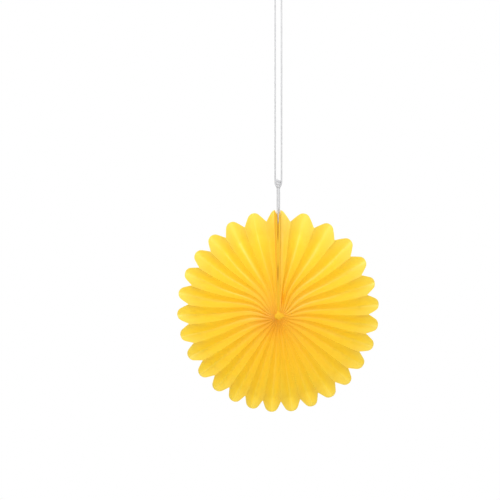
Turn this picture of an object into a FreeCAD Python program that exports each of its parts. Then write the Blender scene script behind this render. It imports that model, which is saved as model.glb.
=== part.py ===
import FreeCAD, Part
import math
import os

os.makedirs("parts", exist_ok=True)

# A paper fan medallion that hangs from a string loop.
# Sizes are in millimetres. +Z is up and the front of the fan faces -Y.
# The origin is the top of the string loop, where a hook bears on it.

# The opened fan, as seen from the front
petal_count = 28
petal_tip_radius = 76.2
petal_notch_radius = 67.9
petal_tip_rounding = 5.2
fan_centre_drop = 245.9
fan_behind_string = 2.5
hub_below_centre = 3.9

# How unevenly the petals share the turn, in degrees of sine and cosine sway, for one to three waves a turn
petal_sway = ((5.7, 1.4), (1.2, 0.6), (0.7, 0.6))

# The folded sheet
sheet_thickness = 0.12
leaf_width = 12.0
pleat_depth_at_rim = 8.4
cutting_allowance = 2.5
pleat_stations = 4
seam_turn_at_hub = 0.04

# The gathered centre and the thread that ties it
hub_radius = 3.2
hub_rounding = 1.0
hub_overhang = 0.6
fold_root_depth = 0.5
thread_diameter = 0.5
thread_loop_radius = 1.9
thread_clearance = 0.05

# The two end cards and the pads that stick them together
card_thickness = 0.5
card_hub_clearance = 0.15
string_clearance = 0.1
pad_width = 9.0
outer_pad_start = 38.4
outer_pad_length = 18.0
inner_pad_start = 7.0
inner_pad_length = 19.3

# The string, its knot and its loop
string_diameter = 1.2
strand_gap = 0.1
loop_spacing = 4.8
knot_top_drop = 146.3
knot_height = 7.5
knot_shoulder_height = 3.8
knot_edge = 0.2
knot_depth = 3.2
knot_foot_depth = 1.8
twist_start_above_tip = 4.0
twist_end_below_tip = 3.4
string_tuck = 14.0

# What follows from those sizes
string_radius = string_diameter / 2
strand_offset = (string_diameter + strand_gap) / 2
seam_gap = string_diameter + string_clearance
card_outer_face = seam_gap / 2 + card_thickness
fin_leaf_middle = card_outer_face + sheet_thickness / 2
end_leaf_cut_reach = sheet_thickness * 1.5
fan_middle = FreeCAD.Vector(0, fan_behind_string, -fan_centre_drop)
hub_middle = fan_middle - FreeCAD.Vector(0, 0, hub_below_centre)
leaf_length = petal_tip_radius + hub_below_centre
top_tip_height = fan_middle.z + petal_tip_radius
leaf_front = fan_behind_string - leaf_width / 2
leaf_back = fan_behind_string + leaf_width / 2


def turn(step):
    """Clock angle, in radians, of an even step round the fan, from 0 at the top to 1."""
    even = 2 * math.pi * step
    sway = 0.0
    for times, (sine_part, cosine_part) in enumerate(petal_sway, start=1):
        sway += sine_part * math.sin(times * even) + cosine_part * (1 - math.cos(times * even))
    return even + math.radians(sway)


def rim_point(angle, radius, y=0.0):
    """A point at a clock angle and radius about the outline's centre."""
    across = fan_middle.x + radius * math.sin(angle)
    up = fan_middle.z + radius * math.cos(angle)
    return FreeCAD.Vector(across, y, up)


def export(shape, node):
    shape.exportStep("parts/" + node + ".step")
    print(node, "valid", shape.isValid(), "solids", len(shape.Solids), "volume", round(shape.Volume, 2))


# Fold lines of the sheet


def fold_list():
    """Each fold from one end leaf round to the other: its place at hub and rim, and its side."""
    folds = []
    steps = [half / (2 * petal_count) for half in range(1, 2 * petal_count)]
    hub_start = math.asin(fin_leaf_middle / (hub_radius - fold_root_depth)) + seam_turn_at_hub
    for number, step in enumerate(steps):
        hub_angle = hub_start + (2 * math.pi - 2 * hub_start) * (number + 1) / (len(steps) + 1)
        side = "front" if number % 2 == 0 else "back"
        folds.append((hub_angle, turn(step), side))
    return folds


def station_points(share):
    """Middle line of the folded sheet at one share of the way from hub to rim."""
    root = hub_radius - fold_root_depth
    reach = petal_tip_radius + cutting_allowance
    depth = leaf_width + (pleat_depth_at_rim - leaf_width) * share ** 2
    points = []
    for hub_angle, rim_angle, side in fold_list():
        inner = hub_middle + FreeCAD.Vector(root * math.sin(hub_angle), 0, root * math.cos(hub_angle))
        outer = rim_point(rim_angle, reach, fan_behind_string)
        point = inner + (outer - inner) * share
        point.y = fan_behind_string + (-depth / 2 if side == "front" else depth / 2)
        points.append((point, side))
    height = hub_middle.z + root + (fan_middle.z + reach - hub_middle.z - root) * share
    leaf = []
    for sign in (1, -1):
        back = FreeCAD.Vector(sign * fin_leaf_middle, leaf_back, height)
        front = FreeCAD.Vector(sign * fin_leaf_middle, leaf_front, height)
        leaf.append([(front, "end"), (back, "back")])
    return leaf[0] + points + leaf[1][::-1]


# The folded sheet as a thin solid


def skins(share):
    """The front and back skin of the sheet at one station, as two rows of points."""
    here = station_points(share)
    short_step = 0.01
    inward = station_points(share - short_step) if share > 0.5 else here
    outward = here if share > 0.5 else station_points(share + short_step)
    along = [(far[0] - near[0]).normalize() for near, far in zip(inward, outward)]
    normals = []
    for first in range(len(here) - 1):
        step = here[first + 1][0] - here[first][0]
        normals.append(step.cross(along[first] + along[first + 1]).normalize())
    half = sheet_thickness / 2
    front, back = [], []
    for number, (point, side) in enumerate(here):
        before = normals[max(number - 1, 0)]
        after = normals[min(number, len(normals) - 1)]
        if side == "end":
            front.append([point + after * half])
            back.append([point - after * half])
            continue
        bisector = (before + after).normalize()
        inside = bisector * (half / bisector.dot(after))
        if side == "front":
            front.append([point + before * half, point + after * half])
            back.append([point - inside])
        else:
            front.append([point + inside])
            back.append([point - before * half, point - after * half])
    return front, back


def quad(a, b, c, d):
    """Two triangles across four points."""
    return [(a, b, c), (a, c, d)]


def station_cap(front, back):
    """Triangles that close the sheet across one station."""
    cap = []
    for number in range(len(front)):
        for corner in zip(front[number], front[number][1:]):
            cap.append((corner[0], corner[1], back[number][0]))
        for corner in zip(back[number], back[number][1:]):
            cap.append((corner[0], front[number][0], corner[1]))
        if number + 1 < len(front):
            cap += quad(front[number][-1], front[number + 1][0], back[number + 1][0], back[number][-1])
    return cap


def folded_band():
    """The whole pleated sheet before its rim is cut, closed into one solid."""
    rows = []
    for number in range(pleat_stations + 1):
        rows.append(skins(number / pleat_stations))
    triangles = station_cap(*rows[0]) + [face[::-1] for face in station_cap(*rows[-1])]
    for (front, back), (next_front, next_back) in zip(rows, rows[1:]):
        near, far = sum(front, []), sum(next_front, [])
        for a, b, c, d in zip(near, near[1:], far[1:], far):
            triangles += quad(a, d, c, b)
        near, far = sum(back, []), sum(next_back, [])
        for a, b, c, d in zip(near, near[1:], far[1:], far):
            triangles += quad(a, b, c, d)
        triangles += quad(front[0][0], back[0][0], next_back[0][0], next_front[0][0])
        triangles += quad(front[-1][0], next_front[-1][0], next_back[-1][0], back[-1][0])
    faces = [Part.Face(Part.makePolygon([a, b, c, a])) for a, b, c in triangles]
    shell = Part.makeShell(faces)
    shell.sewShape()
    solid = Part.makeSolid(shell)
    if solid.Volume < 0:
        solid.reverse()
    print("band", len(faces), "faces, valid", solid.isValid(), "volume", round(solid.Volume, 1))
    return solid


# The scalloped rim


def petal_edges(before, tip_angle, after):
    """One petal of the rim: a straight side, a round tip and a straight side."""
    start = rim_point(before, petal_notch_radius)
    end = rim_point(after, petal_notch_radius)
    centre = rim_point(tip_angle, petal_tip_radius - petal_tip_rounding)
    top = rim_point(tip_angle, petal_tip_radius)
    outward = math.atan2(top.x - centre.x, top.z - centre.z)

    def touch(point, sign):
        """Where a line from a notch meets the tip's arc."""
        away = point - centre
        lean = math.acos(petal_tip_rounding / away.Length)
        bearing = math.atan2(away.x, away.z) + sign * lean
        reach = FreeCAD.Vector(math.sin(bearing), 0, math.cos(bearing)) * petal_tip_rounding
        return centre + reach

    first = touch(start, 1)
    last = touch(end, -1)
    middle = centre + FreeCAD.Vector(math.sin(outward), 0, math.cos(outward)) * petal_tip_rounding
    side_in = Part.LineSegment(start, first).toShape()
    tip = Part.Arc(first, middle, last).toShape()
    side_out = Part.LineSegment(last, end).toShape()
    return [side_in, tip, side_out]


def outline_block():
    """A block with the fan's outline, deep enough to hold the whole sheet."""
    edges = []
    for number in range(petal_count):
        step = 1 / petal_count
        before = turn((number - 0.5) * step)
        edges += petal_edges(before, turn(number * step), turn((number + 0.5) * step))
    face = Part.Face(Part.Wire(edges))
    face.translate(FreeCAD.Vector(0, leaf_front - leaf_width, 0))
    return face.extrude(FreeCAD.Vector(0, 3 * leaf_width, 0))


def leaf_end_waste(inner_x, outer_x):
    """What the rim's cut takes off a leaf that stands upright at the seam, from tip to notch."""
    fall = petal_tip_radius - petal_notch_radius
    radius = (leaf_width ** 2 + fall ** 2) / (2 * fall)
    centre = FreeCAD.Vector(inner_x, leaf_back, top_tip_height - radius)
    half_turn = math.asin(leaf_width / radius) / 2
    middle = centre + FreeCAD.Vector(0, -math.sin(half_turn), math.cos(half_turn)) * radius
    tip = FreeCAD.Vector(inner_x, leaf_back, top_tip_height)
    notch = FreeCAD.Vector(inner_x, leaf_front, top_tip_height - fall)
    over = cutting_allowance * 2
    corners = [notch, notch + FreeCAD.Vector(0, -over, 0)]
    corners.append(FreeCAD.Vector(inner_x, leaf_front - over, top_tip_height + over))
    corners.append(FreeCAD.Vector(inner_x, leaf_back, top_tip_height + over))
    corners.append(tip)
    curve = Part.Arc(tip, middle, notch).toShape()
    wire = Part.Wire(Part.makePolygon(corners).Edges + [curve])
    return Part.Face(wire).extrude(FreeCAD.Vector(outer_x - inner_x, 0, 0))


# The pieces


def pleated_fan():
    """One sheet: pleated, cut to a scalloped rim, opened round and gathered at the hub."""
    sheet = folded_band().common(outline_block())
    reach = card_outer_face + end_leaf_cut_reach
    sheet = sheet.cut(leaf_end_waste(-reach, reach))
    length = leaf_width + 2 * hub_overhang
    start = FreeCAD.Vector(0, leaf_front - hub_overhang, hub_middle.z)
    hub = Part.makeCylinder(hub_radius, length, start, FreeCAD.Vector(0, 1, 0))
    ends = [edge for edge in hub.Edges if isinstance(edge.Curve, Part.Circle)]
    hub = hub.makeFillet(hub_rounding, ends)
    sheet = sheet.fuse(hub)
    return sheet.cut(thread_ring(thread_diameter / 2 + thread_clearance))


def thread_ring(radius):
    """The tie inside the hub, or the channel that it lies in."""
    centre = FreeCAD.Vector(0, fan_behind_string, hub_middle.z)
    return Part.makeTorus(thread_loop_radius, radius, centre, FreeCAD.Vector(0, 1, 0))


def end_card(sign):
    """A stiff card on one end leaf of the sheet."""
    bottom = hub_middle.z + hub_radius + card_hub_clearance
    start_x = seam_gap / 2 if sign > 0 else -card_outer_face
    corner = FreeCAD.Vector(start_x, leaf_front, bottom)
    card = Part.makeBox(card_thickness, leaf_width, top_tip_height - bottom, corner)
    return card.cut(leaf_end_waste(start_x - card_thickness, start_x + 2 * card_thickness))


def seam_pad(start, length):
    """A sticky pad between the end cards, a stretch of the seam measured up from the hub."""
    corner = FreeCAD.Vector(-seam_gap / 2, fan_behind_string - pad_width / 2, hub_middle.z + start)
    return Part.makeBox(seam_gap, pad_width, length, corner)


def rounded_route(points, radii):
    """A wire of straight runs joined by tangent arcs, and its length."""
    edges = []
    last = points[0]
    for before, corner, after, radius in zip(points, points[1:], points[2:], radii):
        to_start = (before - corner).normalize()
        to_end = (after - corner).normalize()
        half_turn = (math.pi - to_start.getAngle(to_end)) / 2
        trim = radius * math.tan(half_turn)
        start = corner + to_start * trim
        end = corner + to_end * trim
        bisector = (to_start + to_end).normalize()
        middle = corner + bisector * (radius / math.cos(half_turn) - radius)
        if last.distanceToPoint(start) > 1e-6:
            edges.append(Part.LineSegment(last, start).toShape())
        edges.append(Part.Arc(start, middle, end).toShape())
        last = end
    edges.append(Part.LineSegment(last, points[-1]).toShape())
    print("route radii", [round(radius, 1) for radius in radii])
    return Part.Wire(edges)


def largest_radii(points):
    """The largest arc that each corner's two runs allow, with a little straight string between arcs."""
    share_of_run = 0.45
    radii = []
    for before, corner, after in zip(points, points[1:], points[2:]):
        run = min(before.distanceToPoint(corner), corner.distanceToPoint(after))
        half_turn = (math.pi - (before - corner).getAngle(after - corner)) / 2
        radii.append(share_of_run * run / math.tan(half_turn))
    return radii


def tube(points, radii, node):
    """A string along a route, checked against its section times its length."""
    wire = rounded_route(points, radii)
    section = Part.Wire(Part.makeCircle(string_radius, points[0], points[1] - points[0]))
    solid = wire.makePipeShell([section], True, True)
    expected = math.pi * string_radius ** 2 * wire.Length
    print(node, "length", round(wire.Length, 1), "volume share", round(solid.Volume / expected, 4))
    return solid


def string_loop():
    """The open loop above the knot, round the hook that it hangs on."""
    half = loop_spacing / 2
    foot = -knot_top_drop
    top = string_radius
    points = [(-half, foot), (-half, top), (half, top), (half, foot)]
    points = [FreeCAD.Vector(x, 0, z) for x, z in points]
    return tube(points, [half - 1e-4, half - 1e-4], "string_loop")


def string_leg(sign):
    """One strand from the knot down into the slit between the end cards."""
    foot = -knot_top_drop - knot_height
    turn_top = top_tip_height + twist_start_above_tip
    turn_end = top_tip_height - twist_end_below_tip
    slant = strand_offset * math.sqrt(0.5)
    points = [(strand_offset, 0, foot), (strand_offset, 0, turn_top)]
    points.append((slant, slant, (turn_top + turn_end) / 2))
    points.append((0, strand_offset, turn_end))
    points.append((0, strand_offset, top_tip_height - string_tuck))
    points = [FreeCAD.Vector(sign * x, sign * y, z) for x, y, z in points]
    return tube(points, largest_radii(points), "string_leg")


def oval(width, depth, height):
    """A level oval wire about the string's line."""
    wide = FreeCAD.Vector(width / 2, 0, height)
    deep = FreeCAD.Vector(0, depth / 2, height)
    return Part.Wire(Part.Ellipse(wide, deep, FreeCAD.Vector(0, 0, height)).toShape())


def string_knot():
    """The knot that ties both strands, broad at its shoulders and narrow at its foot."""
    width = loop_spacing + string_diameter + 2 * knot_edge
    foot_width = 2 * strand_offset + string_diameter + 2 * knot_edge
    shoulder = -knot_top_drop - knot_shoulder_height
    foot = -knot_top_drop - knot_height
    top_oval = oval(width, knot_depth, -knot_top_drop)
    shoulder_oval = oval(width, knot_depth, shoulder)
    foot_oval = oval(foot_width, knot_foot_depth, foot)
    body = Part.makeLoft([top_oval, shoulder_oval], True)
    taper = Part.makeLoft([shoulder_oval, foot_oval], True)
    return body.fuse(taper).removeSplitter()


export(pleated_fan(), "pleated_fan")
export(end_card(-1), "end_card_left")
export(end_card(1), "end_card_right")
export(seam_pad(outer_pad_start, outer_pad_length), "seam_pad_outer")
export(seam_pad(inner_pad_start, inner_pad_length), "seam_pad_inner")
export(thread_ring(thread_diameter / 2), "hub_thread")
export(string_knot(), "string_knot")
export(string_loop(), "string_loop")
export(string_leg(-1), "string_leg_left")
export(string_leg(1), "string_leg_right")
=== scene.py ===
# %% [markdown]
# # A hanging paper fan medallion
# The real thing is one sheet of thin yellow tissue, folded into even pleats, cut to scallops, opened
# through a whole turn and gathered at its centre. Two stiff end leaves meet along a seam at the top, and
# a white string comes up between them to a knot and a loop. This lesson dresses the solid model of that
# fan: the solids say where each piece is, and Blender gives each one its soft form and its finish.

import math

import bpy
import numpy as np
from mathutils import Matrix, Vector


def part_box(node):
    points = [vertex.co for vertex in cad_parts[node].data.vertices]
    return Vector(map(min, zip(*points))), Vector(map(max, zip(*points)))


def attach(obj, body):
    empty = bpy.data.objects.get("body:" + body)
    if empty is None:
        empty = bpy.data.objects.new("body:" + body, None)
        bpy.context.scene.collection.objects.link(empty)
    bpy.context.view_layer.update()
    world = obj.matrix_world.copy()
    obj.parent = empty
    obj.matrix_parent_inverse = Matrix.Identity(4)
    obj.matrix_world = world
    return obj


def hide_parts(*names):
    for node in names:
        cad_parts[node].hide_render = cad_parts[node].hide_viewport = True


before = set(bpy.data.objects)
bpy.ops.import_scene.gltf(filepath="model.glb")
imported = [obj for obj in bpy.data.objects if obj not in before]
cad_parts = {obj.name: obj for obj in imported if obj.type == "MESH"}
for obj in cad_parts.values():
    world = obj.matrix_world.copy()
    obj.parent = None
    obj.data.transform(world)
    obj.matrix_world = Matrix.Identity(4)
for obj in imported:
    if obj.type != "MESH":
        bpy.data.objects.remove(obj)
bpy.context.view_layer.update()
print("solid pieces:", sorted(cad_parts))

# %% [markdown]
# ## Places that the frame gives
# Everything is measured in metres from the top of the string loop. The boxes of the small pieces say
# where the hub, the seam and the knot are, so a new size in the solids moves the looks with it.

# %% Read the places of the hub, the leaves and the string
MM = 0.001


def middle_of(node):
    """Centre of a solid piece's box."""
    low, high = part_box(node)
    return (low + high) / 2


hub = middle_of("hub_thread")
hub_point = np.array([hub.x, hub.z])
fan_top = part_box("pleated_fan")[1].z
leaf_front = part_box("end_card_right")[0].y
leaf_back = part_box("end_card_right")[1].y
leaf_width = leaf_back - leaf_front
card_outer_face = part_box("end_card_right")[1].x
print("hub", tuple(round(v, 4) for v in hub), "leaf width", round(leaf_width * 1000, 1), "mm")

# %% Sizes of the petals, as in the solids
petal_count = 28
petal_tip_radius = 76.2 * MM
petal_notch_radius = 67.9 * MM
petal_tip_rounding = 5.2 * MM
# Degrees of sine and cosine sway, for one, two and three waves round the fan
petal_sway = ((5.7, 1.4), (1.2, 0.6), (0.7, 0.6))
sheet_thickness = 0.12 * MM
fan_centre = Vector((hub.x, hub.y, fan_top - petal_tip_radius))
print(petal_count, "petals about", tuple(round(v, 4) for v in fan_centre))

# %% [markdown]
# ## The camera
# The photograph looks straight at the fan from its front, level with it, through a long lens. The frame is
# 0.376 m wide where the fan hangs, and the fan sits right of the frame's centre and below it.

# %% Aim the camera
frame_width = 0.376
camera_distance = 2.4
camera_aim = Vector((-0.0213, 0.0, -0.2000))

camera_data = bpy.data.cameras.new("camera")
camera_data.sensor_width = 36.0
camera_data.lens = camera_data.sensor_width * camera_distance / frame_width
camera = bpy.data.objects.new("camera", camera_data)
bpy.context.scene.collection.objects.link(camera)
camera.location = camera_aim + Vector((0, -camera_distance, 0))
camera.rotation_euler = (math.radians(90), 0, 0)
bpy.context.scene.camera = camera
print("lens", round(camera_data.lens), "mm")

# %% [markdown]
# ## Meshes from arrays
# Each piece below is worked out as rows of points, because a formula keeps the folds even. One helper
# turns a grid of points into a smooth mesh piece.

# %% Helper: a mesh piece from a grid of points


def add_piece(name, vertices, faces, material):
    """A smooth mesh piece that moves with the model's one body."""
    mesh = bpy.data.meshes.new(name)
    mesh.from_pydata([tuple(v) for v in vertices], [], faces)
    mesh.polygons.foreach_set("use_smooth", [True] * len(mesh.polygons))
    mesh.update()
    piece = bpy.data.objects.new(name, mesh)
    bpy.context.scene.collection.objects.link(piece)
    mesh.materials.append(material)
    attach(piece, "root")
    print(name, len(mesh.vertices), "points,", len(mesh.polygons), "faces")
    return piece


def grid_faces(rows, columns, wrap=False):
    """Quads over a grid of rows by columns, closed round each row if wrap is set."""
    faces = []
    for row in range(rows - 1):
        for column in range(columns if wrap else columns - 1):
            after = (column + 1) % columns
            a = row * columns + column
            b = row * columns + after
            faces.append((a, b, b + columns, a + columns))
    return faces


# %% [markdown]
# ## Parts of a finish
# Paper, card, foam and cotton are all fibre, so their finishes share a few parts: a noise for patches or
# fuzz, a ramp that turns it into close shades, and a bump for what the fingers would feel.

# %% Helpers: noise, ramp, bump and math for a material


def new_material(name):
    """An empty node material, with its nodes and links."""
    material = bpy.data.materials.new(name)
    material.use_nodes = True
    material.node_tree.nodes.clear()
    return material, material.node_tree.nodes, material.node_tree.links


def add_noise(nodes, links, place, scale, detail):
    """A noise texture at a place on the piece."""
    texture = nodes.new("ShaderNodeTexNoise")
    texture.inputs["Scale"].default_value = scale
    texture.inputs["Detail"].default_value = detail
    links.new(place, texture.inputs["Vector"])
    return texture.outputs["Fac"]


def add_ramp(nodes, links, share, stops):
    """Colours along a share from 0 to 1, each stop a place and a colour."""
    ramp = nodes.new("ShaderNodeValToRGB")
    while len(ramp.color_ramp.elements) < len(stops):
        ramp.color_ramp.elements.new(0.5)
    for stop, (place, colour) in zip(ramp.color_ramp.elements, stops):
        stop.position = place
        stop.color = (*colour, 1)
    links.new(share, ramp.inputs["Fac"])
    return ramp.outputs["Color"]


def add_bump(nodes, links, height, strength, distance):
    """A bump node over a texture's height."""
    bump = nodes.new("ShaderNodeBump")
    bump.inputs["Strength"].default_value = strength
    bump.inputs["Distance"].default_value = distance
    links.new(height, bump.inputs["Height"])
    return bump


def add_math(nodes, links, operation, *terms):
    """A math node's result over terms that are numbers or other nodes' results."""
    node = nodes.new("ShaderNodeMath")
    node.operation = operation
    for socket, term in zip(node.inputs, terms):
        if isinstance(term, float):
            socket.default_value = term
        else:
            links.new(term, socket)
    return node.outputs["Value"]


# %% [markdown]
# ## Twisted cotton string
# The string is soft white cotton, about 1.2 mm thick. It leaves the slit at the seam as two strands side by
# side, goes through the knot, and up into a long narrow loop round its hook. Its route is one smooth curve,
# and a mesh tube with three twisted plies follows it, because at this size the twist is what makes it string.

# %% String material
string_diameter = 1.2 * MM


def fibre_material(name, shades, roughness, sheen, patches, fuzz, bump):
    """A matt fibrous finish: two close shades in patches, and a fine fuzz in the bump.

    The shades are dark and light. Patches and fuzz are each a noise's scale and detail, and bump is its
    strength and depth.
    """
    material, nodes, links = new_material(name)
    output = nodes.new("ShaderNodeOutputMaterial")
    shader = nodes.new("ShaderNodeBsdfPrincipled")
    shader.inputs["Roughness"].default_value = roughness
    shader.inputs["Sheen Weight"].default_value = sheen
    place = nodes.new("ShaderNodeTexCoord").outputs["Object"]
    patch_share = add_noise(nodes, links, place, *patches)
    colour = add_ramp(nodes, links, patch_share, list(zip((0.35, 0.65), shades)))
    fuzz_bump = add_bump(nodes, links, add_noise(nodes, links, place, *fuzz), *bump)
    links.new(colour, shader.inputs["Base Color"])
    links.new(fuzz_bump.outputs["Normal"], shader.inputs["Normal"])
    links.new(shader.outputs["BSDF"], output.inputs["Surface"])
    return material


cotton = fibre_material("white_cotton", shades=((0.52, 0.52, 0.53), (0.62, 0.62, 0.63)), roughness=0.85,
                        sheen=0.25, patches=(900.0, 2.0), fuzz=(6000.0, 3.0), bump=(0.4, 0.00008))
print("material", cotton.name)

# %% Points of the string's route, from the left tucked end to the right one
strand_offset = 0.65 * MM
pair_offset = 0.72 * MM
front_strand = -2.7 * MM
strand_slant = strand_offset * math.sqrt(0.5)
loop_half = 2.4 * MM
knot_low, knot_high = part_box("string_knot")
loop_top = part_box("string_loop")[1].z - string_diameter / 2
slit_top = fan_top - 3.4 * MM
twist_top = fan_top + 1.2 * MM
leg_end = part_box("string_leg_right")[0].z

left_side = [
    (0, -strand_offset, leg_end),
    (0, front_strand, slit_top),
    (-strand_slant, -strand_slant, (slit_top + twist_top) / 2),
    (-strand_offset, 0, twist_top),
    (-pair_offset, 0, twist_top + 2.0 * MM),
    (-pair_offset, 0, knot_low.z - 2.0 * MM),
    (-pair_offset, 0, knot_low.z + 0.9 * MM),
    (-loop_half, 0, knot_low.z + 3.2 * MM),
    (-loop_half, 0, knot_high.z + 2.0 * MM),
    (-loop_half, 0, loop_top - 7.2 * MM),
    (-loop_half, 0, loop_top),
]
right_side = [(-x, min(-y, strand_offset), z) for x, y, z in reversed(left_side)]
route = left_side + right_side
print("route has", len(route), "points, from", round(leg_end, 4), "m up to", round(loop_top, 4), "m")

# %% Smooth line of the string
string_spacing = 0.25 * MM


def smooth_line(places):
    """A smooth line near a list of places, as an array of points."""
    curve_data = bpy.data.curves.new("string_route", "CURVE")
    curve_data.dimensions = "3D"
    spline = curve_data.splines.new("NURBS")
    spline.points.add(len(places) - 1)
    for point, place in zip(spline.points, places):
        point.co = (*place, 1)
    spline.order_u = 3
    spline.use_endpoint_u = True
    spline.resolution_u = 40
    curve = bpy.data.objects.new("string_route", curve_data)
    bpy.context.scene.collection.objects.link(curve)
    mesh = bpy.data.meshes.new_from_object(curve)
    line = np.array([v.co for v in mesh.vertices], float)
    bpy.data.meshes.remove(mesh)
    bpy.data.objects.remove(curve)
    return line


def even_line(line, spacing):
    """The same line with its points an even distance apart, and its length."""
    steps = np.linalg.norm(np.diff(line, axis=0), axis=1)
    along = np.concatenate([[0.0], np.cumsum(steps)])
    length = along[-1]
    count = max(2, int(round(length / spacing)) + 1)
    wanted = np.linspace(0.0, length, count)
    points = [np.interp(wanted, along, line[:, axis]) for axis in range(3)]
    return np.stack(points, axis=1), length


string_line, string_length = even_line(smooth_line(route), string_spacing)
print("string length", round(string_length * 1000), "mm,", len(string_line), "points")

# %% Twisted tube along a line
plies = 3
twist_pitch = 3.2 * MM


def twisted_tube(line, radius, around=18, groove=0.08):
    """Points and faces of a plied string along a line: the plies are ridges that wind round it."""
    direction = np.gradient(line, axis=0)
    direction /= np.linalg.norm(direction, axis=1)[:, None]
    side = np.cross(direction[0], (0.0, 1.0, 0.0))
    side /= np.linalg.norm(side)
    spacing = np.linalg.norm(line[1] - line[0])
    angle = np.arange(around) * 2 * math.pi / around
    across, upward = np.cos(angle)[:, None], np.sin(angle)[:, None]
    rows = []
    for number, (place, ahead) in enumerate(zip(line, direction)):
        side = side - ahead * side.dot(ahead)
        side /= np.linalg.norm(side)
        turn = 2 * math.pi * number * spacing / twist_pitch
        swell = np.abs(np.cos(plies * (angle - turn) / 2))
        reach = radius * (1 - groove + groove * swell)
        rows.append(place + reach[:, None] * (across * side + upward * np.cross(ahead, side)))
    faces = grid_faces(len(line), around, wrap=True)
    first_end = tuple(range(around))[::-1]
    last_end = tuple((len(line) - 1) * around + step for step in range(around))
    return np.concatenate(rows), faces + [first_end, last_end]


points, faces = twisted_tube(string_line, string_diameter / 2)
hanging_string = add_piece("hanging_string", points, faces, cotton)
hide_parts("string_loop", "string_leg_left", "string_leg_right")

# %% [markdown]
# ## The knot
# Both strands are tied together in one small knot. Seen from the front, the loop's strands come down to its
# outer sides, and the body of the knot sits between them and narrows towards the fan. It is made of three
# thick turns, as the pair of strands makes when it goes round together.

# %% Knot turns
knot_turns = 3
knot_stops = (0.0, 0.2, 0.55, 1.0)
knot_widths = np.array((0.3, 0.95, 0.85, 0.2)) * MM
knot_depths = np.array((0.2, 0.4, 0.35, 0.1)) * MM
knot_wrap_radius = 1.15 * MM
knot_top = knot_high.z - 0.8 * knot_wrap_radius
knot_foot = knot_low.z + 0.5 * knot_wrap_radius


def knot_line(steps=240):
    """A coil that winds down round both strands and narrows towards the fan."""
    rows = []
    for share in np.linspace(0, 1, steps):
        angle = 2 * math.pi * knot_turns * share + math.pi / 2
        wide = np.interp(share, knot_stops, knot_widths)
        deep = np.interp(share, knot_stops, knot_depths)
        height = knot_top + (knot_foot - knot_top) * share
        rows.append((wide * math.cos(angle), deep * math.sin(angle), height))
    return np.array(rows)


knot_path, knot_length = even_line(knot_line(), string_spacing)
points, faces = twisted_tube(knot_path, knot_wrap_radius, groove=0.04)
knot = add_piece("string_knot_turns", points, faces, cotton)
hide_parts("string_knot")
print("knot holds", round(knot_length * 1000), "mm of string")

# %% Length of the string
print("cord of", round(string_length * 1000), "mm, with its knot")

# %% [markdown]
# ## Tissue
# Thin tissue paper shines through a little: each leaf is lit from behind as well as from the front, so the
# material mixes a matt paper surface with a translucent one, and the light that comes through is dyed. The
# colour holds painted shade: deeper toward the hub, where the crowded pleats shade each other, and paler
# toward the open rim, with a painted shadow at one spot at the hub's lower left. At the seam and behind it
# several layers lie on each other, so that tissue lets less light through; the seam, its slit and the bump
# in front of the hub are painted a deeper shade as well. A fine fibre and a soft crinkle are in the bump.

# %% Shades of the tissue
# Painted shade: the tissue's colour deepens toward the hub, where the crowded pleats shade each other, and
# pales toward the open rim.
paper_painted_shade_stops = ((0.0, (0.76, 0.33, 0.008)), (0.1, (0.92, 0.54, 0.016)), (0.22, (0.965, 0.62, 0.025)),
                (0.35, (0.975, 0.69, 0.038)), (0.55, (0.985, 0.75, 0.052)), (0.8, (0.985, 0.81, 0.09)),
                (1.0, (0.985, 0.84, 0.19)))
# Painted shade: the seam, its slit and the bump get a deeper, more orange colour where the card and the
# layers shade them.
seam_painted_shade_stops = ((0.05, (0.92, 0.54, 0.03)), (0.3, (0.95, 0.52, 0.03)),
               (0.6, (0.95, 0.54, 0.035)), (1.0, (0.95, 0.58, 0.045)))
cloud_drift = 0.16
# A painted shadow: the colour deepens round one spot below and left of the hub, where the bump's shadow
# falls.
painted_shadow_place = (hub.x - 5.5 * MM, fan_centre.y, hub.z - 5.0 * MM)
painted_shadow_reach = 15 * MM
painted_shadow_step = 0.24


def distance_from(nodes, links, place, spot):
    """How far a place on the piece is from a fixed spot."""
    distance = nodes.new("ShaderNodeVectorMath")
    distance.operation = "DISTANCE"
    distance.inputs[1].default_value = spot
    links.new(place, distance.inputs[0])
    return distance.outputs["Value"]


def painted_shade_from_hub(nodes, links, place, stops):
    """Painted shade: deeper yellow near the hub, paler at the rim, in soft clouds; a painted shadow at its
    lower left.
    """
    from_hub = distance_from(nodes, links, place, (hub.x, fan_centre.y, hub.z))
    reach = add_math(nodes, links, "DIVIDE", from_hub, petal_tip_radius)
    clouds = add_noise(nodes, links, place, scale=180.0, detail=4.0)
    drift = add_math(nodes, links, "MULTIPLY_ADD", clouds, cloud_drift, reach)
    # The painted shadow at the hub's lower left, deepest at its spot and gone beyond its reach.
    spot = nodes.new("ShaderNodeMapRange")
    spot.inputs["From Min"].default_value = 0.0
    spot.inputs["From Max"].default_value = painted_shadow_reach
    spot.inputs["To Min"].default_value = painted_shadow_step
    spot.inputs["To Max"].default_value = 0.0
    links.new(distance_from(nodes, links, place, painted_shadow_place), spot.inputs["Value"])
    closer = add_math(nodes, links, "SUBTRACT", drift, spot.outputs["Result"])
    return add_ramp(nodes, links, closer, stops)


print("paper shades:", len(paper_painted_shade_stops), "and seam shades:", len(seam_painted_shade_stops))

# %% Tissue materials
dye_depth = (1.0, 0.99, 0.25)


def dye_through(nodes, links, colour):
    """The deeper colour of the light that comes through the paper."""
    dyed = nodes.new("ShaderNodeMix")
    dyed.data_type = "RGBA"
    dyed.blend_type = "MULTIPLY"
    dyed.inputs["Factor"].default_value = 1.0
    dyed.inputs["B"].default_value = (*dye_depth, 1)
    links.new(colour, dyed.inputs["A"])
    return dyed.outputs["Result"]


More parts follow.
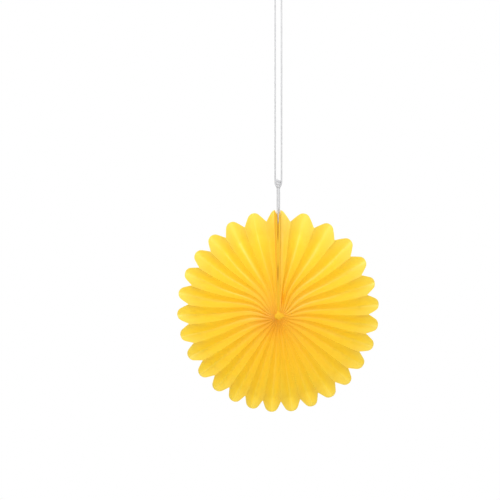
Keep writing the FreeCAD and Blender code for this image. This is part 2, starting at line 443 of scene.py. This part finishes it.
def tissue_material(name, see_through, stops, gloss):
    """Yellow tissue paper that lets a share of the light through, and dyes that light deeper."""
    material, nodes, links = new_material(name)
    output = nodes.new("ShaderNodeOutputMaterial")
    paper = nodes.new("ShaderNodeBsdfPrincipled")
    paper.inputs["Roughness"].default_value = 0.42
    paper.inputs["Specular IOR Level"].default_value = gloss
    paper.inputs["Sheen Weight"].default_value = 0.05
    paper.inputs["Sheen Roughness"].default_value = 0.4
    glow = nodes.new("ShaderNodeBsdfTranslucent")
    mix = nodes.new("ShaderNodeMixShader")
    mix.inputs["Fac"].default_value = see_through
    place = nodes.new("ShaderNodeTexCoord").outputs["Object"]
    # Its colour carries the painted shade toward the hub and the painted shadow at the hub's lower left.
    colour = painted_shade_from_hub(nodes, links, place, stops)
    crinkle_height = add_noise(nodes, links, place, scale=150.0, detail=2.0)
    crinkle = add_bump(nodes, links, crinkle_height, strength=0.3, distance=0.0005)
    fibre_height = add_noise(nodes, links, place, scale=2500.0, detail=4.0)
    fibre = add_bump(nodes, links, fibre_height, strength=0.08, distance=0.00006)
    links.new(colour, paper.inputs["Base Color"])
    links.new(dye_through(nodes, links, colour), glow.inputs["Color"])
    links.new(crinkle.outputs["Normal"], fibre.inputs["Normal"])
    links.new(fibre.outputs["Normal"], paper.inputs["Normal"])
    links.new(paper.outputs["BSDF"], mix.inputs[1])
    links.new(glow.outputs["BSDF"], mix.inputs[2])
    links.new(mix.outputs["Shader"], output.inputs["Surface"])
    return material


tissue = tissue_material("yellow_tissue", see_through=0.5, stops=paper_painted_shade_stops, gloss=0.75)
layered_tissue = tissue_material("layered_tissue", see_through=0.1, stops=paper_painted_shade_stops, gloss=0.3)
painted_shade_seam_tissue = tissue_material("painted_shade_seam_tissue", see_through=0.1, stops=seam_painted_shade_stops, gloss=0.05)
print("materials", tissue.name, layered_tissue.name, painted_shade_seam_tissue.name)

# %% [markdown]
# ## The rim and the folds
# The sheet has a column of points down each fold and several columns on each leaf between. The folds that
# run to the notches stand at the front, and the fold at each petal's centre lies at the back, so each petal
# is a trough. The rim is cut by the same scallops as the solid.

# %% The scalloped rim


def clock(step):
    """Clock angle in radians of an even step round the fan, from 0 at the top to 1."""
    even = 2 * math.pi * step
    sway = 0.0
    for times, (sine_part, cosine_part) in enumerate(petal_sway, start=1):
        sway += sine_part * math.sin(times * even) + cosine_part * (1 - math.cos(times * even))
    return even + math.radians(sway)


def rim_place(angle, radius):
    """A place across and up from the outline's centre, at a clock angle and radius."""
    return radius * np.array([math.sin(angle), math.cos(angle)])


def rim_outline(arc_points=25):
    """The scalloped outline as clock angles and radii about the outline's centre."""
    angles, radii = [], []
    for number in range(-1, petal_count + 1):
        tip = clock(number / petal_count)
        centre = rim_place(tip, petal_tip_radius - petal_tip_rounding)
        notch_angles = [clock((number + half) / petal_count) for half in (-0.5, 0.5)]
        notches = [rim_place(angle, petal_notch_radius) for angle in notch_angles]
        bearings = []
        for notch, sign in zip(notches, (1, -1)):
            away = notch - centre
            lean = math.acos(petal_tip_rounding / np.linalg.norm(away))
            bearings.append(math.atan2(away[0], away[1]) + sign * lean)
        span = (bearings[1] - bearings[0]) % (2 * math.pi)
        arc = [centre + rim_place(bearings[0] + part, petal_tip_rounding)
               for part in np.linspace(0, span, arc_points)]
        for place in [notches[0]] + arc:
            turned = math.atan2(place[0], place[1])
            angles.append(tip + (turned - tip + math.pi) % (2 * math.pi) - math.pi)
            radii.append(np.linalg.norm(place))
    return np.array(angles), np.array(radii)


outline_angles, outline_radii = rim_outline()
print("outline has", len(outline_angles), "points, in order:", bool(np.all(np.diff(outline_angles) > 0)))

# %% Folds of the sheet
hub_radius = 3.2 * MM
fold_root_depth = 0.5 * MM
fold_root = 2.6 * MM
seam_turn_at_hub = 0.04
rim_reach = petal_tip_radius + 2.5 * MM
fin_x = card_outer_face + sheet_thickness / 2


def fold_table():
    """Each fold's inner and outer end on the fan's plane, and -1 at the front or 1 at the back."""
    table = []
    halves = 2 * petal_count
    middle = np.array([fan_centre.x, fan_centre.z])
    hub_start = math.asin(fin_x / (hub_radius - fold_root_depth)) + seam_turn_at_hub
    for half in range(1, halves):
        hub_angle = hub_start + (2 * math.pi - 2 * hub_start) * half / halves
        inner = hub_point + rim_place(hub_angle, fold_root)
        outer = middle + rim_place(clock(half / halves), rim_reach)
        table.append((inner, outer, -1 if half % 2 else 1))
    bottom, top = hub.z + fold_root, fan_centre.z + rim_reach
    right = [(np.array([fin_x, bottom]), np.array([fin_x, top]), side) for side in (-1, 1)]
    left = [(np.array([-fin_x, bottom]), np.array([-fin_x, top]), side) for side in (1, -1)]
    return right + table + left


folds = fold_table()
last_leaf = len(folds) - 2
print(len(folds), "folds,", last_leaf + 1, "leaves")

# %% [markdown]
# ## How the paper strays from even folds
# A real sheet is never even. Its folds wander, its leaves sag and crumple, and near the hub the whole sheet
# turns up toward the seam that it hangs from. Smooth random runs give the wander, always from one seed.

# %% Random runs and soft steps
rows_per_column = 50
shares = np.linspace(0, 1, rows_per_column)
seed = 28
rng = np.random.default_rng(seed)


def ease(share):
    """A share from 0 to 1 with a soft start and a soft end."""
    return share * share * (3 - 2 * share)


def soft_fade(distance, reach):
    """1 at no distance, and down towards 0 beyond the reach."""
    return np.exp(-((distance / reach) ** 2))


def soft_noise(count, smooth):
    """A smooth run of random values, about -1 to 1."""
    knots = rng.uniform(-1, 1, max(3, int(count / smooth) + 3))
    where = np.linspace(0, len(knots) - 1, count)
    low = np.clip(where.astype(int), 0, len(knots) - 2)
    mix = ease(where - low)
    return knots[low] * (1 - mix) + knots[low + 1] * mix


print(rows_per_column, "points in each column from hub to rim")

# %% Curve of the folds near the hub
bend_angle = math.radians(20)
bend_reach = 28.6 * MM
bend_start = 11.0 * MM
bend_stops = (0.0, 0.11, 0.19, 0.26, 0.34, 0.45, 0.56, 0.66, 0.8)
right_bend = (0.0, 0.6, 0.9, 1.0, 0.8, 0.52, 0.42, 0.2, 0.0)
left_bend = (0.0, 0.45, 0.7, 0.85, 0.95, 1.0, 0.9, 0.45, 0.0)


def bend_to_seam(place):
    """Turns points near the hub up toward the seam, because the folds of the hanging sheet curve."""
    offset = place - hub_point
    from_hub = np.linalg.norm(offset, axis=1)
    angle = np.arctan2(offset[:, 0], offset[:, 1])
    seam = np.arcsin(np.clip(fin_x / from_hub, 0, 1))
    share = (np.abs(angle) - seam) / (math.pi - seam)
    right = np.interp(share, bend_stops, right_bend)
    left = np.interp(share, bend_stops, left_bend)
    bend = bend_angle * np.where(angle > 0, right, left)
    bend *= soft_fade(from_hub, bend_reach) * (1 - soft_fade(from_hub - fold_root, bend_start))
    angle = angle - np.sign(angle) * bend
    turned = np.stack([np.sin(angle), np.cos(angle)], axis=1) * from_hub[:, None]
    return turned + hub_point


print("folds curve by up to", round(math.degrees(bend_angle)), "degrees")

# %% [markdown]
# ## The pleated sheet
# Out at the rim the sheet is one surface, and each petal a deep hollow. Near the hub the leaves are pressed
# together and hide each other's folds, so the sheet has a front skin and a back skin there, each with a
# shallow hollow. They become one sheet further out. The leaf next to each end leaf is the flattest, two
# leaves at the right of the seam are pinched, and the folds are calmest at the upper left.

# %% Depth of the hollows
rim_depth = 8.4 * MM
trough_stops = np.array((0, 45, 60, 70)) * MM
trough_ratios = (0.26, 0.5, 0.65, 1.0)
least_filled = 0.02
merge_start = 0.5
merge_span = 0.4
shallow_leaves = {1: 0.3, last_leaf - 1: 0.45}
pinched_leaves = {2: 1.8, 3: 1.8}
pinch_radius = 12.5 * MM
pinch_reach = 3.5 * MM
smooth_side = math.radians(318)
smooth_width = math.radians(32)
smooth_share = 0.65
smooth_reach = 30 * MM


def trough_share(leaf, from_hub, bearing):
    """How deep a leaf's hollow is at each row, as a share of an even fold's."""
    pinch = pinched_leaves.get(leaf, 0) * soft_fade(from_hub - pinch_radius, pinch_reach)
    calm = smooth_share * soft_fade(bearing - smooth_side, smooth_width)
    trough = np.interp(from_hub, trough_stops, trough_ratios) * (1 + pinch)
    return trough * (1 - calm * soft_fade(from_hub, smooth_reach))


def leaf_section(v, filled, roundness):
    """Depth shares of a leaf's front and back skin, at a share of the way from its front fold."""
    hollow = (1 - roundness) * v + roundness * math.sin(math.pi * v / 2)
    merge = ease(np.clip((filled - merge_start) / merge_span, 0, 1))
    behind = (1 - merge) * math.cos(math.pi * v / 2) + merge * (1 - hollow)
    return filled * hollow, 1 - filled * behind


print("pleats are", round(rim_depth * 1000, 1), "mm deep at the rim")

# %% One leaf's own crumple and sag
leaf_crumple = 0.22 * MM
leaf_sag = 0.7 * MM
leaf_roundness = (0.5, 1.0)
crumple_waves = 3
crumple_ripples = (0.8, 1.8)
crumple_turns = (0, 6.3)
crumple_smooth = 9
sag_smooth = 20


def draw_leaf():
    """One leaf's own roundness, crumple waves and sag, drawn at random."""
    roundness = rng.uniform(*leaf_roundness)
    waves = []
    for _ in range(crumple_waves):
        run = soft_noise(rows_per_column, crumple_smooth)
        waves.append((run, rng.uniform(*crumple_ripples), rng.uniform(*crumple_turns)))
    sag = soft_noise(rows_per_column, sag_smooth) * leaf_sag
    return roundness, waves, sag


def leaf_ripple(v, s, waves, sag):
    """How far a column strays in depth, at a share v across its leaf and shares s of the way to the rim."""
    ripple = sum(run * math.sin(times * math.pi * v + turn) for run, times, turn in waves)
    return math.sin(math.pi * v) * (sag + leaf_crumple * ripple) * s


print("leaves sag by up to about", round(leaf_sag * 1000, 1), "mm")

# %% Columns of points from hub to rim
columns_per_leaf = 14
front_swell = 1.2 * MM
front_swell_radius = 9 * MM
rim_halvings = 30


def column_end(inner, outer):
    """The share of the way from the inner to the outer point where the rim is cut."""
    low, high = 0.5, 1.0
    for _ in range(rim_halvings):
        share = (low + high) / 2
        place = inner + (outer - inner) * share - np.array([fan_centre.x, fan_centre.z])
        angle = math.atan2(place[0], place[1]) % (2 * math.pi)
        if np.linalg.norm(place) > np.interp(angle, outline_angles, outline_radii):
            high = share
        else:
            low = share
    return (low + high) / 2


def leaf_column(leaf, v, wander, drawn):
    """One column of a leaf at a share v of its width, on its front skin and on its back skin."""
    (in_a, out_a, side_a), (in_b, out_b, _) = folds[leaf], folds[leaf + 1]
    roundness, waves, sag = drawn
    inner = in_a + (in_b - in_a) * v
    outer = out_a + (out_b - out_a) * v
    s = shares * column_end(inner, outer)
    place = inner + (outer - inner) * s[:, None]
    from_hub = np.linalg.norm(place - hub_point, axis=1)
    place = bend_to_seam(place)
    place[:, 0] += (wander[leaf] * (1 - v) + wander[leaf + 1] * v) * s
    depth = leaf_width + (rim_depth - leaf_width) * s ** 2
    bearing = math.atan2(outer[0] - hub.x, outer[1] - hub.z) % (2 * math.pi)
    petal_width = 2 * math.pi * from_hub / petal_count
    filled = np.clip(trough_share(leaf, from_hub, bearing) * petal_width / depth, least_filled, 1.0)
    front, back = leaf_section(v if side_a < 0 else 1 - v, filled, roundness)
    front = front * shallow_leaves.get(leaf, 1.0)
    swell = front_swell * soft_fade(from_hub, front_swell_radius)
    start = fan_centre.y - depth / 2 + leaf_ripple(v, s, waves, sag)
    front_column = np.stack([place[:, 0], start + depth * front - swell, place[:, 1]], axis=1)
    front_column[-1, 1] += sheet_thickness / 2
    back_column = np.stack([place[:, 0], start + depth * back + sheet_thickness, place[:, 1]], axis=1)
    return front_column, back_column


def leaf_columns(leaf, wander):
    """The columns of one pleat leaf, as its front skin and its back skin."""
    drawn = draw_leaf()
    across = [number / columns_per_leaf for number in range(columns_per_leaf + 1)]
    return list(zip(*[leaf_column(leaf, v, wander, drawn) for v in across]))


print(columns_per_leaf, "columns on each leaf")

# %% [markdown]
# ## The end leaves
# The two end leaves are wrapped round their cards. Seen from the front they meet in a narrow slit, which
# opens and closes a little on its way up from the hub and spreads at the top, where the string goes in. The
# folds behind them lean away from the seam, the left one more than the right one.

# %% End leaves, wrapped round their cards
slit_stops = np.array((8, 26, 29, 36, 38, 41, 54, 57, 60, 64, 70, 73, 80)) * MM
slit_halves = np.array((0.02, 0.04, 0.35, 0.35, 0.1, 0.04, 0.04, 0.1, 0.42, 0.42, 0.4, 0.8, 1.4)) * MM
slit_floor_stops = np.array((69, 72)) * MM
slit_floor_halves = np.array((0.02, 0.6)) * MM
slit_floor_depth = 1.4 * MM
slit_wall_rise = 0.1 * MM
slit_centre = -0.3 * MM
lip_rise = 0.3 * MM
lip_fall_share = 0.4
wrap_curve = 0.8
slit_columns = 3
glued_columns = columns_per_leaf + slit_columns


def end_leaf_heights(share):
    """Heights of an end leaf's column from hub to rim, at a share of the way from its front to its back."""
    fall = petal_tip_radius - petal_notch_radius
    end_radius = (leaf_width ** 2 + fall ** 2) / (2 * fall)
    drop = end_radius - math.sqrt(end_radius ** 2 - (leaf_width * (1 - share)) ** 2)
    drop *= lip_fall_share + (1 - lip_fall_share) * share
    bottom = hub.z + fold_root
    return bottom + (fan_top - drop - bottom) * shares


def column_of(x, y, z):
    """A column of points, from values that may be one for all rows."""
    return np.stack(np.broadcast_arrays(x, y, z), axis=1)


def end_leaf_columns(sign, trough):
    """An end leaf from the slit's edge, round the card, to the bottom of the trough beside it."""
    z = end_leaf_heights(0.0)
    floor_x = slit_centre + sign * np.interp(z - hub.z, slit_floor_stops, slit_floor_halves)
    slit_x = slit_centre + sign * np.interp(z - hub.z, slit_stops, slit_halves)
    columns = [column_of(floor_x, leaf_front + slit_floor_depth, z)]
    columns.append(column_of(slit_x, leaf_front - slit_wall_rise, z))
    columns.append(column_of(slit_x, leaf_front - lip_rise, z))
    for number in range(columns_per_leaf):
        share = number / columns_per_leaf
        x = sign * fin_x + (trough[:, 0] - sign * fin_x) * share ** wrap_curve
        y = leaf_front + (trough[:, 1] - leaf_front) * share
        columns.append(column_of(x, y, end_leaf_heights(share)))
    return columns if sign > 0 else columns[::-1]


print("each end leaf has", glued_columns, "columns")

# %% Put the columns in order
fold_wander = 0.35 * MM
fold_smooth = 14
lean_stops = (0.0, 0.3, 0.6, 0.87, 1.0)
left_lean = np.array((0.0, 1.2, 2.0, 2.2, 1.9)) * MM
right_lean = np.array((0.0, 0.3, 0.5, 0.5, 0.4)) * MM


def sheet_columns():
    """All columns of the sheet in order, from the slit clockwise round to the slit again."""
    wander = [soft_noise(rows_per_column, fold_smooth) * fold_wander for _ in folds]
    wander[1] = np.interp(shares, lean_stops, right_lean)
    wander[last_leaf] = -np.interp(shares, lean_stops, left_lean)
    fronts, backs = [], []
    for leaf in range(1, last_leaf):
        leaf_fronts, leaf_backs = leaf_columns(leaf, wander)
        kept = columns_per_leaf + (leaf == last_leaf - 1)
        fronts += leaf_fronts[:kept]
        backs += leaf_backs[:kept]
    fronts, backs = np.array(fronts), np.array(backs)
    backs = np.concatenate([backs, fronts[:, -1:]], axis=1)
    right = end_leaf_columns(1, fronts[0])
    left = end_leaf_columns(-1, fronts[-1])
    return np.concatenate([right, fronts, left]), backs


columns, back_columns = sheet_columns()
print(len(columns), "columns in front,", len(back_columns), "at the back")

# %% The front skin, with its seam in less see-through tissue


def crease_columns(piece, rows, numbers):
    """Breaks the smooth shading of a grid along some of its columns."""
    numbers = set(numbers)
    for edge in piece.data.edges:
        start, end = sorted(edge.vertices)
        if end == start + 1 and start // rows in numbers:
            edge.use_edge_sharp = True


fan_faces = grid_faces(len(columns), rows_per_column)
fan = add_piece("pleated_tissue", columns.reshape(-1, 3), fan_faces, tissue)
fan.data.materials.append(painted_shade_seam_tissue)
# The seam's columns get the seam tissue, whose deeper colour is painted shade.
for face in fan.data.polygons:
    column = min(face.vertices) // rows_per_column
    face.material_index = int(min(column, len(columns) - 2 - column) < glued_columns)

first_fold = glued_columns + columns_per_leaf
front_folds = set(range(first_fold, len(columns) - glued_columns, 2 * columns_per_leaf))
lip_edges = {1, 2, 3, len(columns) - 4, len(columns) - 3, len(columns) - 2}
crease_columns(fan, rows_per_column, front_folds | lip_edges)
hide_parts("pleated_fan")

# %% The back skin
back_rows = rows_per_column + 1
back_faces = grid_faces(len(back_columns), back_rows)
fan_back = add_piece("pleated_tissue_back", back_columns.reshape(-1, 3), back_faces, tissue)
crease_columns(fan_back, back_rows, range(columns_per_leaf, len(back_columns), 2 * columns_per_leaf))

# %% Strip that closes the seam at the back
strip_lift = 0.25 * MM
strip_overlap = 1.5 * MM
strip_flat_half = 0.6 * fin_x
strip_rows = 12
strip_heights = np.linspace(hub.z + fold_root, fan_top - 1.0 * MM, strip_rows)
strip_half = [
    (strip_flat_half, leaf_back + strip_lift),
    (fin_x, leaf_back),
    (fin_x, leaf_back - strip_overlap),
]
strip_section = [(-x, y) for x, y in strip_half[::-1]] + strip_half
strip_points = [(x, y, z) for x, y in strip_section for z in strip_heights]
strip_faces = grid_faces(len(strip_section), strip_rows)
strip = add_piece("seam_strip", strip_points, strip_faces, layered_tissue)

# %% [markdown]
# ## The gathered hub
# At the centre the inner edges of all the leaves are drawn together into a round drum with one small ridge
# for each leaf. In front of it they show as a small low bump with a few soft folds.

# %% Hub drum
drum_radius = 3.0 * MM
drum_face_radius = 0.7 * drum_radius
drum_middle = 0.02 * MM
drum_edge = 0.8 * MM
drum_back_rise = 0.4 * MM
drum_ridge = 0.09
leaf_count = last_leaf + 1
drum_around = 4 * leaf_count


def drum_points(rows):
    """Rings of points round the hub, each row a radius and a depth, with one ridge for each leaf."""
    points = []
    for radius, y in rows:
        for step in range(drum_around):
            angle = 2 * math.pi * step / drum_around
            reach = radius * (1 + drum_ridge * math.cos(angle * leaf_count))
            points.append((hub.x + reach * math.sin(angle), y, hub.z + reach * math.cos(angle)))
    return points


drum_rows = [
    (drum_middle, leaf_front),
    (drum_face_radius, leaf_front),
    (drum_radius, leaf_front + drum_edge),
    (drum_radius, fan_centre.y),
    (drum_radius, leaf_back - drum_edge),
    (drum_face_radius, leaf_back + drum_back_rise / 2),
    (drum_middle, leaf_back + drum_back_rise),
]
drum_faces = grid_faces(len(drum_rows), drum_around, wrap=True)
drum = add_piece("gathered_hub", drum_points(drum_rows), drum_faces, layered_tissue)

# %% Low bump in front of the hub
bump_half_width = 4.6 * MM
bump_half_height = 3.2 * MM
bump_rise = 1.3 * MM
bump_centre = Vector((hub.x + 0.5 * MM, leaf_front - 0.1 * MM, hub.z + 0.2 * MM))
bump_folds = 9
bump_winding = 2.5
broad_folds = 4
broad_fold_turn = 1.0
broad_fold_share = 0.6
fold_spread = 0.15
fold_depth = 0.16
first_ring = 0.15


def bump_points(rows=14, around=72):
    """A small dome of gathered paper with a few soft folds that wind into its middle."""
    points = []
    for row in range(rows):
        share = (row + first_ring) / (rows - 1 + first_ring)
        tilt = share * math.pi / 2
        for step in range(around):
            angle = 2 * math.pi * step / around
            fold = math.cos(bump_folds * angle + bump_winding * share)
            fold += broad_fold_share * math.cos(broad_folds * angle + broad_fold_turn)
            reach = math.sin(tilt) * (1 + fold_spread * fold * share)
            rise = math.cos(tilt) * bump_rise * (1 - fold_depth * fold * math.sin(tilt))
            x = bump_centre.x + bump_half_width * reach * math.sin(angle)
            z = bump_centre.z + bump_half_height * reach * math.cos(angle)
            points.append((x, bump_centre.y - rise, z))
    middle_face = tuple(range(around))[::-1]
    return points, grid_faces(rows, around, wrap=True) + [middle_face]


points, faces = bump_points()
# The bump gets the seam tissue's deeper colour, which is painted shade.
bump = add_piece("gathered_bump", points, faces, painted_shade_seam_tissue)

# %% [markdown]
# ## Cards, pads and thread
# The cards on the end leaves, the pads between them and the thread in the hub are right as solids. They get
# their own finishes: yellow dyed card, pale foam and cotton.

# %% Finishes of the solid pieces
yellow_card = fibre_material("yellow_card", shades=((0.84, 0.50, 0.035), (0.90, 0.56, 0.045)), roughness=0.75,
                             sheen=0.0, patches=(1500.0, 4.0), fuzz=(1500.0, 4.0), bump=(0.25, 0.0001))
pad_foam = fibre_material("pad_foam", shades=((0.72, 0.66, 0.50), (0.80, 0.74, 0.58)), roughness=0.9,
                          sheen=0.0, patches=(4000.0, 4.0), fuzz=(4000.0, 4.0), bump=(0.25, 0.0001))
finishes = {
    "end_card_left": yellow_card,
    "end_card_right": yellow_card,
    "seam_pad_outer": pad_foam,
    "seam_pad_inner": pad_foam,
    "hub_thread": cotton,
}
for node, material in finishes.items():
    node_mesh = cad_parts[node].data
    node_mesh.materials.clear()
    node_mesh.materials.append(material)
    print(node, "gets", material.name)

# %% [markdown]
# ## Floor, world and lamps
# The fan hangs in front of plain white. The floor lies well below it and is shown mostly white, so it
# only catches a faint shadow. The world lights the fan softly from all round, one large lamp in front of it
# and above shapes the pleats, and another behind it shines through the tissue.

# %% White world
white = (1.0, 1.0, 1.0, 1)
world_strength = 0.70


def white_to_camera(nodes, links, surface, shown, share):
    """Mixes a share of white in for the camera, gloss and glass, and leaves all other light the surface."""
    path = nodes.new("ShaderNodeLightPath")
    direct = add_math(nodes, links, "MAXIMUM", path.outputs["Is Camera Ray"], path.outputs["Is Glossy Ray"])
    seen = add_math(nodes, links, "MAXIMUM", direct, path.outputs["Is Transmission Ray"])
    mix = nodes.new("ShaderNodeMixShader")
    links.new(add_math(nodes, links, "MULTIPLY", seen, share), mix.inputs["Fac"])
    links.new(surface, mix.inputs[1])
    links.new(shown, mix.inputs[2])
    return mix.outputs["Shader"]


def add_background(nodes, strength):
    """White light of one strength from all round."""
    background = nodes.new("ShaderNodeBackground")
    background.inputs["Color"].default_value = white
    background.inputs["Strength"].default_value = strength
    return background.outputs["Background"]


world = bpy.data.worlds.new("white_room")
world.use_nodes = True
world_nodes, world_links = world.node_tree.nodes, world.node_tree.links
world_nodes.clear()
world_light = add_background(world_nodes, world_strength)
world_shown = add_background(world_nodes, 1.0)
world_output = world_nodes.new("ShaderNodeOutputWorld")
world_mix = white_to_camera(world_nodes, world_links, world_light, world_shown, 1.0)
world_links.new(world_mix, world_output.inputs["Surface"])
bpy.context.scene.world = world
print("world lights with strength", world_strength)

# %% White floor
floor_drop = 0.95
floor_size = 5.0
floor_white_share = 0.6
floor_material, floor_nodes, floor_links = new_material("white_floor")
floor_output = floor_nodes.new("ShaderNodeOutputMaterial")
floor_paint = floor_nodes.new("ShaderNodeBsdfDiffuse")
floor_paint.inputs["Color"].default_value = (0.85, 0.85, 0.85, 1)
floor_shown = floor_nodes.new("ShaderNodeEmission")
floor_shown.inputs["Color"].default_value = white
floor_mix = white_to_camera(floor_nodes, floor_links, floor_paint.outputs["BSDF"],
                            floor_shown.outputs["Emission"], floor_white_share)
floor_links.new(floor_mix, floor_output.inputs["Surface"])

half = floor_size / 2
corners = [(x, y, -floor_drop) for x, y in ((-half, -half), (half, -half), (half, half), (-half, half))]
floor_mesh = bpy.data.meshes.new("floor")
floor_mesh.from_pydata(corners, [], [(0, 1, 2, 3)])
floor_mesh.materials.append(floor_material)
floor = bpy.data.objects.new("floor", floor_mesh)
bpy.context.scene.collection.objects.link(floor)
print("floor", floor_size, "m wide,", floor_drop, "m below the hook")

# %% Lamps


def add_lamp(name, place, aim, size, power):
    """A square area lamp that points at a place."""
    data = bpy.data.lights.new(name, "AREA")
    data.size = size
    data.energy = power
    lamp = bpy.data.objects.new(name, data)
    bpy.context.scene.collection.objects.link(lamp)
    lamp.location = place
    lamp.rotation_euler = (Vector(aim) - Vector(place)).to_track_quat("-Z", "Y").to_euler()


add_lamp("top_lamp", place=(-0.08, -0.48, 0.18), aim=fan_centre, size=0.4, power=2.5)
add_lamp("back_lamp", place=(0.0, 0.42, 0.12), aim=fan_centre, size=0.5, power=1.7)

# %% [markdown]
# ## Finish
# The colours are shown as they are written.

# %% Colour view
bpy.context.scene.view_settings.view_transform = "Standard"
